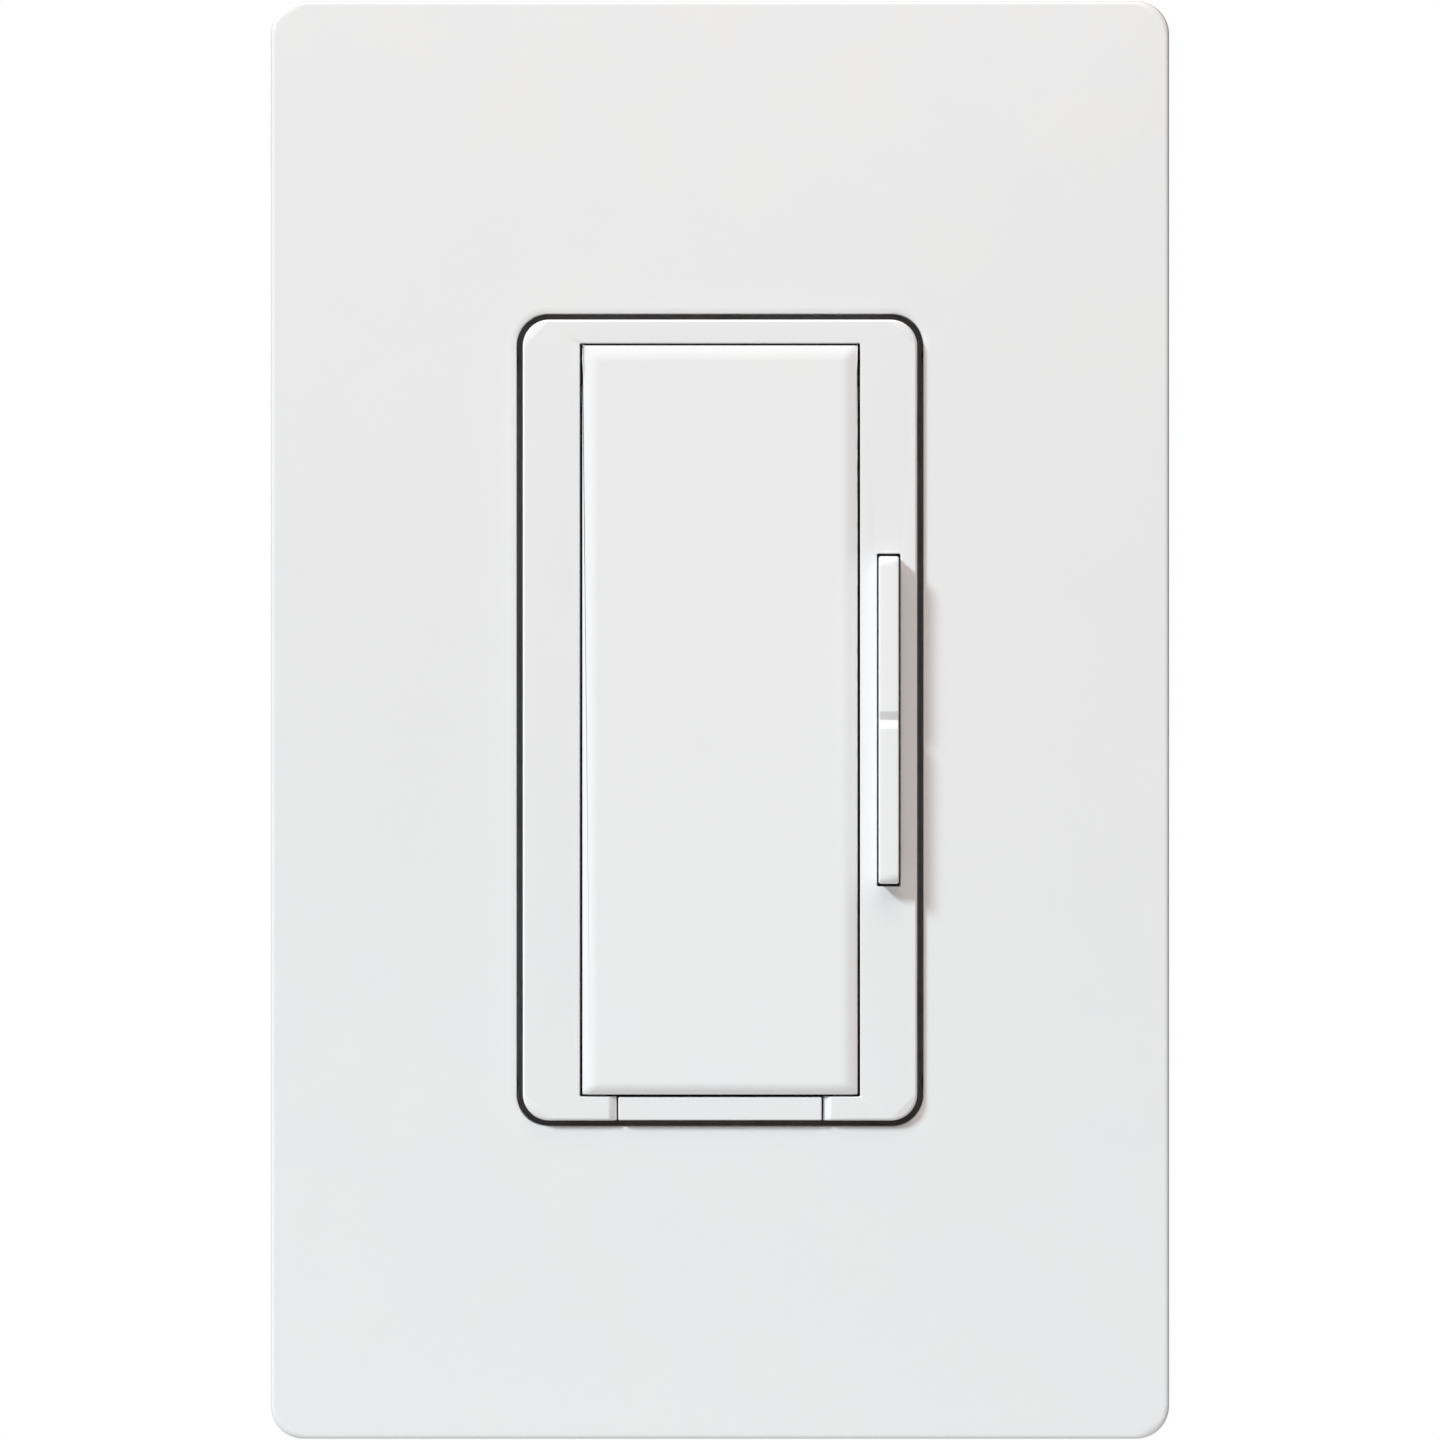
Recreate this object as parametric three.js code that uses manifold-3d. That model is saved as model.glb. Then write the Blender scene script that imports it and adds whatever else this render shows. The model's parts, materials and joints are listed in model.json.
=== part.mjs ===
// A wall dimmer for one gang: a screwless faceplate over an adapter, and behind it a device with a large
// tap paddle, a narrow raise and lower rocker, and a pull-out service switch that opens an air gap.
//
// Everything is drawn on the front elevation, in millimetres: x to the right, y up, and z out of the wall
// towards the user. The face of the wall is z = 0, and x = y = 0 is the middle of the faceplate. The last
// lines turn the whole group upright, so that +Z is up and the front faces -Y.

import * as THREE from "three";
import { ConvexGeometry } from "three/addons/geometries/ConvexGeometry.js";
import { mergeVertices } from "three/addons/utils/BufferGeometryUtils.js";
import Module from "manifold-3d";

const wasm = await Module();
wasm.setup();

const around = (middle, half) => [middle - half, middle + half];
const mirrored = ([low, high], side) => (side > 0 ? [low, high] : [-high, -low]);
const SIDES = [-1, 1];

// ---- Driving dimensions -------------------------------------------------------------------------------

const GAP = 0.15; // between pieces that touch on the real device
const FINE = 10; // segments round a corner that shows

const plate = { width: 74.6, height: 119.4, corner: 2.75, edge: 0.4, back: 0.3, front: 7.6 };
const plateShell = { skin: 1.7, wall: 1.6 };
const opening = { width: 33.8, height: 67.5, corner: 2.65, chamfers: [[0.55, 0.05], [0.36, 0.1]] };
const snaps = { rows: [-38, 0, 38], half: 4, reach: 0.5, z: [0.9, 1.5], fingerHalf: 6 };
const prySlot = { half: 5, depth: 1.2 };

const adapter = { width: 70.1, height: 114.9, corner: 1.6, back: 1.65, front: 3.4 };
const adapterRim = { z: [0.6, 5.0], wall: 1.2, fingerX: [30.4, 36], slotHalf: 0.4 };
const adapterHole = { width: 34.2, height: 68.0, corner: 2.9, collar: 4.6 };
const adapterRib = { rows: [-19, 19], columns: [-11, 11], half: 0.5, height: 0.9, fromEdge: 1 };

const bezel = { width: 32.7, height: 66.4, corner: 2.2, edge: 0.2, back: 1.6, front: 8.4 };
const bezelShell = { skin: 1.5, wall: 1.35, ribBack: 2.4 };
const bezelLeg = { y: 24, half: 2, x: [15.1, 16.3], back: -1.6, hookX: [16.2, 17.1], hookZ: [-1.1, 0.15] };
const paddleWindow = { width: 23.24, height: 62.46 };
const paddle = { width: 22.8, height: 62.08, skin: 1.3 };
const paddleFace = { shoulder: 8.5, top: 8.75, foot: 8.86, bevel: 0.95, footBevel: 0.62 };
const paddleSkirt = { wall: 1.2, back: 6.0 };
const paddleHook = { x: [9.4, 11.0], end: -31.7, z: [6.0, 6.7] };
const paddlePivot = { y: 27, z: 5, radius: 0.9, ear: [9.9, 11.1], tip: 13.0, rib: [11.85, 13.35] };
const tapPost = { y: -12, radius: 2, tip: -0.25, ribBack: 3.2 };
const paddleSpring = { y: -24, radius: 2.2, wire: 0.45, turns: 4.5, z: [2.95, 7.05], spigot: 1.4 };

const rockerSlot = { x: [13.02, 14.97], half: 13.8 };
const rocker = { x: [13.155, 14.785], half: 13.55, front: 10.15, back: 3.0, nose: 0.85, noseDrop: 0.65 };
const rockerNotch = { half: 0.75, depth: 0.4 };
const rockerPivot = { z: 4.2, radius: 0.8, x: [12.1, 15.7], rib: [11.85, 12.85], pocket: 15.9 };
const rockerFoot = { y: 9, half: 0.8, tip: -0.25 };

const tab = { half: 8.43, y: [-33.18, -31.28], z: [1.7, 8.35] };
const tabNotch = { half: 8.57, flare: 0.62, flareDepth: 0.4 };
const tabStem = { half: 2.2, y: [-33.0, -31.6], end: -16.2 };
const tabFoot = { half: 1.5, top: -29.5, z: [-16.2, -14.7] };
const tabStop = { half: 3.6, z: [-4.0, -2.6] };

const yoke = { width: 44, height: 70, corner: 1.5, length: 106.4, neck: 24, back: 0.3, front: 1.5 };
const ears = { width: 38, height: 14, y: 46.2, padX: 13.4, padHalf: [4.2, 5.2], score: 0.35 };
const boxScrewY = 41.65; // half of the 83.3 mm that wall boxes are tapped at
const plateScrewY = 48.41; // half of the 96.8 mm between a faceplate's screws
const groundLug = { x: [-20.5, -12.6], y: [-35.9, -34.5], depth: 12, screwZ: -6.5 };
const triacScrewY = 26;

const housing = { width: 43, height: 68, corner: 2, back: -29.5, front: 0.1, wall: 1.5, floor: 1.8 };
const column = { x: 14.3, y: 26.8 };
const housingScrew = { x: 18.2, y: 30.4, seat: -6, bore: 2.5, hole: 1.35 };
const boardRibs = { x: 18.0, rows: [[-20, -17], [3, 6]] };

const switchX = (rocker.x[0] + rocker.x[1]) / 2;
const controlBoard = { half: 18.8, y: [-26.4, 11], z: [-5.8, -4.8], holeX: 16, holeY: 8, hole: 1.5 };
const powerBoard = { half: 13.9, y: [-28.9, 31.5], z: [-25.9, -24.4] };
const tactile = { half: 3.1, z: [-4.65, -1.4], bore: 1.75, boreEnd: -4.3 };
const plunger = { radius: 1.6, z: [-3.7, -0.4] };

const terminalZ = -20; // the middle of each screw terminal, behind the wall
const terminals = { line: [-1, 14], load: [-1, -4], companion: [1, 14] }; // side of the housing, height
const pocket = { x: 16, wall: 1.4, half: 5, depthHalf: 4.8, partition: 1.3 };
const tail = { z: terminalZ - 3, half: 0.4, halfWidth: 1.5, end: 11.6 }; // runs in to the power board
const boardPins = { y: [-24, 29], x: 11.4, boss: 2.2, pin: 1.2, hole: 1.4 };

const arm = { x: [-13.4, 10.5], y: [-31.3, -29.4], z: [-14.4, -14.0] };
const contact = { x: 9, y: -30.35, radius: 1.3, moving: [-15.2, -14.4], fixed: [-16.1, -15.35] };

// ---- Solids -------------------------------------------------------------------------------------------

// A closed geometry as a solid that can be joined and cut.
function solid(geometry) {
  const bare = geometry.index ? geometry.toNonIndexed() : geometry.clone();
  bare.deleteAttribute("normal");
  bare.deleteAttribute("uv");
  const merged = mergeVertices(bare, 1e-4);
  return new wasm.Manifold(
    new wasm.Mesh({
      numProp: 3,
      vertProperties: merged.attributes.position.array,
      triVerts: new Uint32Array(merged.index.array),
    }),
  );
}

function geometryOf(made) {
  const { vertProperties, triVerts } = made.getMesh();
  const geometry = new THREE.BufferGeometry();
  geometry.setAttribute("position", new THREE.BufferAttribute(vertProperties, 3));
  geometry.setIndex(new THREE.BufferAttribute(triVerts, 1));
  geometry.computeVertexNormals();
  return geometry;
}

const join = (...solids) => solids.reduce((whole, next) => whole.add(next));
const cut = (from, ...tools) => tools.reduce((left, tool) => left.subtract(tool), from);

function block([x0, x1], [y0, y1], [z0, z1]) {
  const geometry = new THREE.BoxGeometry(x1 - x0, y1 - y0, z1 - z0);
  return solid(geometry.translate((x0 + x1) / 2, (y0 + y1) / 2, (z0 + z1) / 2));
}

// An outline drawn in x and y, raised from one z to another, with its front and back edges rounded.
function slab(outline, [z0, z1], edge = 0, curveSegments = 3) {
  const geometry = new THREE.ExtrudeGeometry(outline, {
    depth: z1 - z0 - 2 * edge,
    bevelEnabled: edge > 0,
    bevelSize: edge,
    bevelThickness: edge,
    bevelSegments: 2,
    curveSegments,
  });
  return solid(geometry.translate(0, 0, z0 + edge));
}

// An outline raised like slab's that widens by size over the first depth, for a flat chamfer round a hole.
function flaredSlab(outline, [z0, z1], size, depth) {
  const geometry = new THREE.ExtrudeGeometry(outline, {
    depth: z1 - z0 - 2 * depth,
    bevelEnabled: true,
    bevelSize: size,
    bevelThickness: depth,
    bevelSegments: 1,
    curveSegments: FINE,
  });
  return solid(geometry.translate(0, 0, z0 + depth));
}

// A rectangle with round corners. inset is the rounded edge that slab adds round it.
function roundedRectangle(width, height, radius, inset = 0, centre = [0, 0]) {
  const r = radius - inset;
  const [x, y] = [width / 2 - radius, height / 2 - radius];
  const outline = new THREE.Shape();
  outline.absarc(centre[0] + x, centre[1] + y, r, 0, Math.PI / 2);
  outline.absarc(centre[0] - x, centre[1] + y, r, Math.PI / 2, Math.PI);
  outline.absarc(centre[0] - x, centre[1] - y, r, Math.PI, 1.5 * Math.PI);
  outline.absarc(centre[0] + x, centre[1] - y, r, 1.5 * Math.PI, 2 * Math.PI);
  return outline;
}

// A slot with round ends, lying along x.
function stadium(length, radius, [cx, cy]) {
  const reach = length / 2 - radius;
  const outline = new THREE.Shape();
  outline.absarc(cx + reach, cy, radius, -Math.PI / 2, Math.PI / 2);
  outline.absarc(cx - reach, cy, radius, Math.PI / 2, 1.5 * Math.PI);
  return outline;
}

// A round bar along one axis. The other two coordinates of its centreline come in x, y, z order.
function bar(axis, radius, [a, b], [from, to], sides = 20) {
  const geometry = new THREE.CylinderGeometry(radius, radius, to - from, sides);
  const middle = (from + to) / 2;
  if (axis === "x") return solid(geometry.rotateZ(-Math.PI / 2).translate(middle, a, b));
  if (axis === "y") return solid(geometry.translate(a, middle, b));
  return solid(geometry.rotateX(Math.PI / 2).translate(a, b, middle));
}

// A bearing slot for a trunnion along x, open towards the wall so that the trunnion can snap in.
function bearingSlot(radius, y, z, xs, openTo) {
  return join(bar("x", radius, [y, z], xs), block(xs, around(y, radius), [openTo, z]));
}

// ---- Faceplate and adapter ----------------------------------------------------------------------------

function faceplate() {
  const { width, height, corner, edge, back, front } = plate;
  const { skin, wall } = plateShell;
  const shell = slab(roundedRectangle(width, height, corner, edge), [back, front], edge, FINE);
  const cavity = slab(
    roundedRectangle(width - 2 * wall, height - 2 * wall, corner - wall),
    [back - 1, front - skin],
  );
  const hole = slab(
    roundedRectangle(opening.width, opening.height, opening.corner),
    [0, front + 1],
    0,
    FINE,
  );
  const flares = opening.chamfers.map(([size, depth]) =>
    flaredSlab(
      roundedRectangle(
        opening.width + 2 * size,
        opening.height + 2 * size,
        opening.corner + size,
        size,
      ),
      [front - depth, front + 2],
      size,
      depth,
    ),
  );
  const inner = width / 2 - wall;
  const lips = SIDES.flatMap((side) =>
    snaps.rows.map((y) =>
      block(mirrored([inner - snaps.reach, inner + 0.3], side), around(y, snaps.half), snaps.z),
    ),
  );
  const pry = block(
    around(0, prySlot.half),
    [-height / 2 - 1, -height / 2 + wall + 1],
    [back - 1, back + prySlot.depth],
  );
  return cut(join(cut(shell, cavity), ...lips), hole, ...flares, pry);
}

function adapterPlate() {
  const { width, height, corner, back, front } = adapter;
  const rimWall = adapterRim.wall;
  const through = around(0, 9);
  const floor = slab(roundedRectangle(width, height, corner), [back, front]);
  const outerRim = cut(
    slab(roundedRectangle(width, height, corner), adapterRim.z),
    slab(roundedRectangle(width - 2 * rimWall, height - 2 * rimWall, corner - rimWall), through),
  );
  const hole = roundedRectangle(adapterHole.width, adapterHole.height, adapterHole.corner);
  const collarWall = slab(
    roundedRectangle(
      adapterHole.width + 2 * rimWall,
      adapterHole.height + 2 * rimWall,
      adapterHole.corner + rimWall,
    ),
    [back, adapterHole.collar],
  );
  const { rows, columns, half, fromEdge } = adapterRib;
  const ribHeight = [front - 0.1, front + adapterRib.height];
  const acrossX = [adapterHole.width / 2, width / 2 - fromEdge];
  const alongY = [adapterHole.height / 2, height / 2 - fromEdge];
  const ribs = SIDES.flatMap((side) => [
    ...rows.map((y) => block(mirrored(acrossX, side), around(y, half), ribHeight)),
    ...columns.map((x) => block(around(x, half), mirrored(alongY, side), ribHeight)),
  ]);
  const fingerSlots = SIDES.flatMap((side) =>
    snaps.rows.flatMap((y) =>
      SIDES.map((end) => {
        const slotY = around(y + end * snaps.fingerHalf, adapterRim.slotHalf);
        return block(mirrored(adapterRim.fingerX, side), slotY, through);
      }),
    ),
  );
  const screwHoles = SIDES.flatMap((end) => [
    bar("z", 4.2, [0, end * boxScrewY], through, 28),
    slab(stadium(6.4, 2.0, [0, end * plateScrewY]), through),
  ]);
  const whole = join(floor, outerRim, collarWall, ...ribs);
  return cut(whole, slab(hole, through), ...fingerSlots, ...screwHoles);
}

// ---- Yoke: the metal strap that everything is fixed to ------------------------------------------------

function yokeStrap() {
  const { width, height, corner, length, neck, back, front } = yoke;
  const thick = [back, front];
  const body = join(
    slab(roundedRectangle(width, height, corner), thick),
    slab(roundedRectangle(neck, length, corner), thick),
    ...SIDES.map((end) =>
      slab(roundedRectangle(ears.width, ears.height, 2, 0, [0, end * ears.y]), thick),
    ),
  );
  const pads = SIDES.flatMap((side) =>
    SIDES.map((end) =>
      block(
        around(side * ears.padX, ears.padHalf[0]),
        around(end * ears.y, ears.padHalf[1]),
        [0, back + 0.2],
      ),
    ),
  );
  const [lugX, lugY] = [groundLug.x, groundLug.y];
  const lug = block(lugX, lugY, [-groundLug.depth, front]);
  const lugHole = bar("y", 1.7, [(lugX[0] + lugX[1]) / 2, groundLug.screwZ], [lugY[0] - 1, lugY[1] + 1]);
  const scores = SIDES.flatMap((side) =>
    SIDES.map((end) =>
      block(around(side * 12.7, 0.25), around(end * ears.y, 9), [front - ears.score, front + 1]),
    ),
  );
  const through = around(0, 5);
  const screwHoles = SIDES.flatMap((end) => [
    slab(stadium(8.6, 2.1, [0, end * boxScrewY]), through),
    bar("z", 1.8, [0, end * plateScrewY], through),
    ...SIDES.map((side) => bar("z", 1.25, [side * housingScrew.x, end * housingScrew.y], through, 16)),
  ]);
  const legSlots = SIDES.flatMap((side) =>
    SIDES.map((end) => {
      const slotX = [bezelLeg.x[0] - 0.2, bezelLeg.x[1] + 0.2];
      return block(mirrored(slotX, side), around(end * bezelLeg.y, bezelLeg.half + 0.3), through);
    }),
  );
  const footSlots = SIDES.map((end) =>
    block(around(switchX, 1.6), around(end * rockerFoot.y, rockerFoot.half + 1), through),
  );
  return cut(
    join(body, ...pads, lug),
    lugHole,
    ...scores,
    ...screwHoles,
    ...legSlots,
    ...footSlots,
    bar("z", tapPost.radius + 1.2, [0, tapPost.y], through, 24),
    bar("z", 1.55, [0, triacScrewY], through, 16),
    block(around(0, tabStem.half + 0.6), [tabStem.y[0] - 0.3, tabStem.y[1] + 0.3], through),
  );
}

// ---- Device front -------------------------------------------------------------------------------------

function frontBezel() {
  const { width, height, corner, edge, back, front } = bezel;
  const { skin, wall, ribBack } = bezelShell;
  const underSkin = front - skin;
  const shell = cut(
    slab(roundedRectangle(width, height, corner, edge), [back, front], edge, FINE),
    slab(roundedRectangle(width - 2 * wall, height - 2 * wall, 1), [back - 1, underSkin]),
  );
  const paddleRibs = SIDES.map((side) =>
    block(mirrored(paddlePivot.rib, side), around(paddlePivot.y, 2.5), [ribBack, underSkin + 0.2]),
  );
  const rockerRib = block(rockerPivot.rib, [-3, 3], [ribBack, underSkin + 0.2]);
  const inside = width / 2 - wall;
  const springSeat = join(
    block(around(0, inside + 0.2), around(paddleSpring.y, 3.2), [back, 2.8]),
    bar("z", paddleSpring.spigot, [0, paddleSpring.y], [2.6, 4.2], 16),
  );
  const legs = SIDES.flatMap((side) =>
    SIDES.map((end) => {
      const legY = around(end * bezelLeg.y, bezelLeg.half);
      return join(
        block(mirrored(bezelLeg.x, side), legY, [bezelLeg.back, back + 0.4]),
        block(mirrored(bezelLeg.hookX, side), legY, bezelLeg.hookZ),
      );
    }),
  );
  const notchDepth = [1, front + 1];
  const notchY = [-height / 2 - 1, tab.y[1] + 0.05];
  const flares = SIDES.map((side) => {
    const near = side * (tabNotch.half - 0.01);
    const far = side * (tabNotch.half + tabNotch.flare);
    const points = notchY.flatMap((y) => [
      new THREE.Vector3(near, y, front - tabNotch.flareDepth),
      new THREE.Vector3(near, y, front + 1),
      new THREE.Vector3(far, y, front),
      new THREE.Vector3(far, y, front + 1),
    ]);
    return solid(new ConvexGeometry(points));
  });
  const paddleBearings = SIDES.map((side) =>
    bearingSlot(paddlePivot.radius + 0.1, paddlePivot.y, paddlePivot.z, mirrored([11, 14], side), 2),
  );
  const windowDepth = [underSkin - 0.5, front + 1];
  return cut(
    join(shell, ...paddleRibs, rockerRib, springSeat, ...legs),
    block(around(0, paddleWindow.width / 2), around(0, paddleWindow.height / 2), windowDepth),
    block(rockerSlot.x, around(0, rockerSlot.half), windowDepth),
    block(around(0, tabNotch.half), notchY, notchDepth),
    ...flares,
    ...paddleBearings,
    bearingSlot(rockerPivot.radius + 0.1, 0, rockerPivot.z, [11.5, rockerPivot.pocket], 1),
  );
}

// The paddle's face leans out a little towards its foot. A bevel runs all round it, steeper at the foot.
function tapPaddle() {
  const { shoulder, bevel, footBevel } = paddleFace;
  const [halfWidth, halfHeight] = [paddle.width / 2, paddle.height / 2];
  const under = shoulder - paddle.skin;
  const corners = SIDES.flatMap((side) =>
    SIDES.flatMap((end) => [
      new THREE.Vector3(side * halfWidth, end * halfHeight, under),
      new THREE.Vector3(side * halfWidth, end * halfHeight, shoulder),
      new THREE.Vector3(
        side * (halfWidth - bevel),
        end * (halfHeight - (end > 0 ? bevel : footBevel)),
        end > 0 ? paddleFace.top : paddleFace.foot,
      ),
    ]),
  );
  const skirtHeight = [paddleSkirt.back, under + 0.2];
  const skirt = cut(
    block(around(0, halfWidth), around(0, halfHeight), skirtHeight),
    block(
      around(0, halfWidth - paddleSkirt.wall),
      around(0, halfHeight - paddleSkirt.wall),
      [paddleSkirt.back - 1, under + 1],
    ),
  );
  const pivots = SIDES.flatMap((side) => [
    block(mirrored(paddlePivot.ear, side), around(paddlePivot.y, 1.6), [4.0, under + 0.2]),
    bar(
      "x",
      paddlePivot.radius,
      [paddlePivot.y, paddlePivot.z],
      mirrored([paddlePivot.ear[0], paddlePivot.tip], side),
      16,
    ),
  ]);
  const hooks = SIDES.map((side) =>
    block(mirrored(paddleHook.x, side), [paddleHook.end, -halfHeight + 0.5], paddleHook.z),
  );
  const ribs = SIDES.map((side) => block(around(side * 4.5, 0.5), around(0, 29.5), [6.4, under + 0.2]));
  const post = join(
    bar("z", tapPost.radius, [0, tapPost.y], [tapPost.tip, under + 0.2]),
    block(around(0, 5), around(tapPost.y, 0.6), [tapPost.ribBack, under + 0.2]),
    block(around(0, 0.6), around(tapPost.y, 4.5), [tapPost.ribBack, under + 0.2]),
  );
  const spigot = bar("z", paddleSpring.spigot, [0, paddleSpring.y], [5.9, under + 0.2], 16);
  return join(solid(new ConvexGeometry(corners)), skirt, ...pivots, ...hooks, ...ribs, post, spigot);
}

// The rocker is a thin blade on edge. Its front has a round nose at each end and a notch in the middle.
function dimmingRocker() {
  const { x, half, front, back, nose, noseDrop } = rocker;
  const outline = new THREE.Shape();
  outline.moveTo(-half, back);
  outline.lineTo(half, back);
  outline.lineTo(half, front - noseDrop);
  outline.quadraticCurveTo(half, front, half - nose, front);
  outline.lineTo(rockerNotch.half, front);
  outline.lineTo(0, front - rockerNotch.depth);
  outline.lineTo(-rockerNotch.half, front);
  outline.lineTo(nose - half, front);
  outline.quadraticCurveTo(-half, front, -half, front - noseDrop);
  outline.closePath();
  const geometry = new THREE.ExtrudeGeometry(outline, {
    depth: x[1] - x[0],
    bevelEnabled: false,
    curveSegments: 6,
  });
  // The outline's own x runs up the wall and its y runs out of the wall.
  const blade = solid(geometry.rotateY(Math.PI / 2).rotateX(Math.PI / 2).translate(x[0], 0, 0));
  const trunnion = bar("x", rockerPivot.radius, [0, rockerPivot.z], rockerPivot.x, 16);
  const feet = SIDES.map((end) =>
    block(
      [x[0] + 0.1, x[1] - 0.1],
      around(end * rockerFoot.y, rockerFoot.half),
      [rockerFoot.tip, back + 0.5],
    ),
  );
  return join(blade, trunnion, ...feet);
}

// The service slider's tab fills a notch in the bezel, and its foot lifts the contact arm behind the yoke.
function serviceSlider() {
  return join(
    block(around(0, tab.half), tab.y, tab.z),
    block(around(0, tabStem.half), tabStem.y, [tabStem.end, tab.z[0] + 0.2]),
    block(around(0, tabStop.half), tabStem.y, tabStop.z),
    block(around(0, tabFoot.half), [tabStem.y[0], tabFoot.top], tabFoot.z),
  );
}

// A tube of the wire's thickness wound round z.
function coilSpring({ radius, wire, turns, z }) {
  const [low, high] = [z[0] + wire / 2, z[1] - wire / 2];
  const perTurn = 12;
  const count = Math.round(turns * perTurn);
  const points = Array.from({ length: count + 1 }, (_, i) => {
    const angle = (2 * Math.PI * i) / perTurn;
    const height = low + ((high - low) * i) / count;
    return new THREE.Vector3(radius * Math.cos(angle), radius * Math.sin(angle), height);
  });
  const section = new THREE.Shape();
  section.absarc(0, 0, wire / 2, 0, 2 * Math.PI);
  return solid(
    new THREE.ExtrudeGeometry(section, {
      steps: count,
      extrudePath: new THREE.CatmullRomCurve3(points),
      curveSegments: 6,
    }),
  );
}

// ---- Screws -------------------------------------------------------------------------------------------

// A screw whose head's underside is at z = 0 and whose shank runs back along -z. The slot is cut in the head.
function screw({ head, height, shank, length, slot = 0.9, sides = 20 }) {
  return cut(
    join(bar("z", head, [0, 0], [0, height], sides), bar("z", shank, [0, 0], [-length, 0.2], 14)),
    block(around(0, head + 1), around(0, slot / 2), [height * 0.45, height + 1]),
  );
}

const boxScrew = { head: 3.5, height: 2.2, shank: 1.65, length: 22 };
const plateScrew = { head: 3.2, height: 1.6, shank: 1.65, length: 6.4 };
const rearScrew = { head: 2.2, height: 1.6, shank: 1.12, length: 7.1, slot: 0.7, sides: 16 };
const groundScrew = { head: 3.5, height: 1.9, shank: 1.55, length: 1.6 };
const terminalScrew = { head: 3.1, height: 1.8, shank: 1.55, length: 3.0 };
const triacScrew = { head: 2.6, height: 1.7, shank: 1.4, length: 3.4, slot: 0.7, sides: 16 };

// ---- Housing and terminals ----------------------------------------------------------------------------

function rearHousing() {
  const { width, height, corner, back, front, wall, floor } = housing;
  const inner = [width / 2 - wall, height / 2 - wall];
  const shell = cut(
    slab(roundedRectangle(width, height, corner, 0.6), [back, front + 0.6], 0.6, 3),
    slab(roundedRectangle(2 * inner[0], 2 * inner[1], 1), [back + floor, front + 1]),
    block(around(0, 40), around(0, 60), [front - 0.1, front + 2]),
  );
  const columns = SIDES.flatMap((side) =>
    SIDES.map((end) =>
      block(
        mirrored([column.x, inner[0] + 0.2], side),
        mirrored([column.y, inner[1] + 0.2], end),
        [back + 1, front - 0.1],
      ),
    ),
  );
  const ribs = SIDES.flatMap((side) =>
    boardRibs.rows.map((ys) =>
      block(mirrored([boardRibs.x, inner[0] + 0.2], side), ys, [back + 1, controlBoard.z[0] - GAP]),
    ),
  );
  const boxes = Object.values(terminals).map(([side, y]) =>
    block(
      mirrored([pocket.x - pocket.wall, inner[0] + 0.2], side),
      around(y, pocket.half + pocket.partition),
      [back + 1, terminalZ + pocket.depthHalf + pocket.partition],
    ),
  );
  const pockets = Object.values(terminals).flatMap(([side, y]) => [
    block(
      mirrored([pocket.x, width / 2 + 1], side),
      around(y, pocket.half),
      around(terminalZ, pocket.depthHalf),
    ),
    block(
      mirrored([pocket.x - 3, pocket.x + 1], side),
      around(y, tail.halfWidth + 0.3),
      around(tail.z, tail.half + 0.3),
    ),
    ...SIDES.map((end) => bar("z", 1.4, [side * 17.65, y + end * 2.7], [back - 1, terminalZ], 16)),
  ]);
  const screwBores = SIDES.flatMap((side) =>
    SIDES.flatMap((end) => {
      const at = [side * housingScrew.x, end * housingScrew.y];
      return [
        bar("z", housingScrew.bore, at, [back - 1, housingScrew.seat]),
        bar("z", housingScrew.hole, at, [housingScrew.seat - 1, front + 1], 14),
      ];
    }),
  );
  const floorFace = [back + 1, powerBoard.z[0] - GAP];
  const boardPosts = SIDES.flatMap((side) =>
    boardPins.y.flatMap((y) => [
      bar("z", boardPins.boss, [side * boardPins.x, y], floorFace),
      bar("z", boardPins.pin, [side * boardPins.x, y], [back + 1, powerBoard.z[1] + 0.8], 12),
    ]),
  );
  const stemChannel = block(around(0, 4.2), [-33.4, -31], [-20, front + 1]);
  const labelRecess = block(around(0, 10.5), [-20, 23], [back - 1, back + 0.3]);
  return cut(
    join(shell, ...columns, ...ribs, ...boxes, ...boardPosts),
    ...pockets,
    ...screwBores,
    stemChannel,
    labelRecess,
  );
}

// One screw terminal, drawn on the +x side of the housing at height 0: a brass plate with a tail that runs
// in to the power board, a clamp plate, and the screw that draws them together on the wire.
function addTerminal(parent, name, side, y) {
  const group = new THREE.Group();
  const plateX = [pocket.x + GAP, 17.0];
  const clampX = [18.1, 19.0];
  const tailZ = around(tail.z, tail.half);
  const screwHole = bar("x", 1.68, [0, terminalZ], [10, 25], 16);
  const brass = cut(
    join(
      block(plateX, around(0, 4.4), around(terminalZ, 4.4)),
      block([tail.end, plateX[0] + 0.2], around(0, tail.halfWidth), tailZ),
      block([tail.end, tail.end + 0.8], around(0, tail.halfWidth), [powerBoard.z[1] + GAP, tailZ[1]]),
    ),
    screwHole,
  );
  const clamp = cut(
    join(
      block(clampX, around(0, 4.2), around(terminalZ, 4.2)),
      ...SIDES.map((end) =>
        block([17.6, clampX[0] + 0.2], around(end * 3.9, 0.3), around(terminalZ, 4.2)),
      ),
    ),
    screwHole,
  );
  place(group, `${name}_terminal_plate`, brass, finish(0xc9a24a, 0.35, 1));
  place(group, `${name}_clamp_plate`, clamp, finish(0xb9bcc0, 0.4, 1));
  place(
    group,
    `${name}_terminal_screw`,
    screw(terminalScrew),
    finish(0xc8a860, 0.35, 1),
    [clampX[1] + GAP, 0, terminalZ],
    [0, Math.PI / 2, 0],
  );
  group.position.y = y;
  group.rotation.z = side > 0 ? 0 : Math.PI;
  parent.add(group);
}

// ---- Boards and what is on them -----------------------------------------------------------------------

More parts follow.
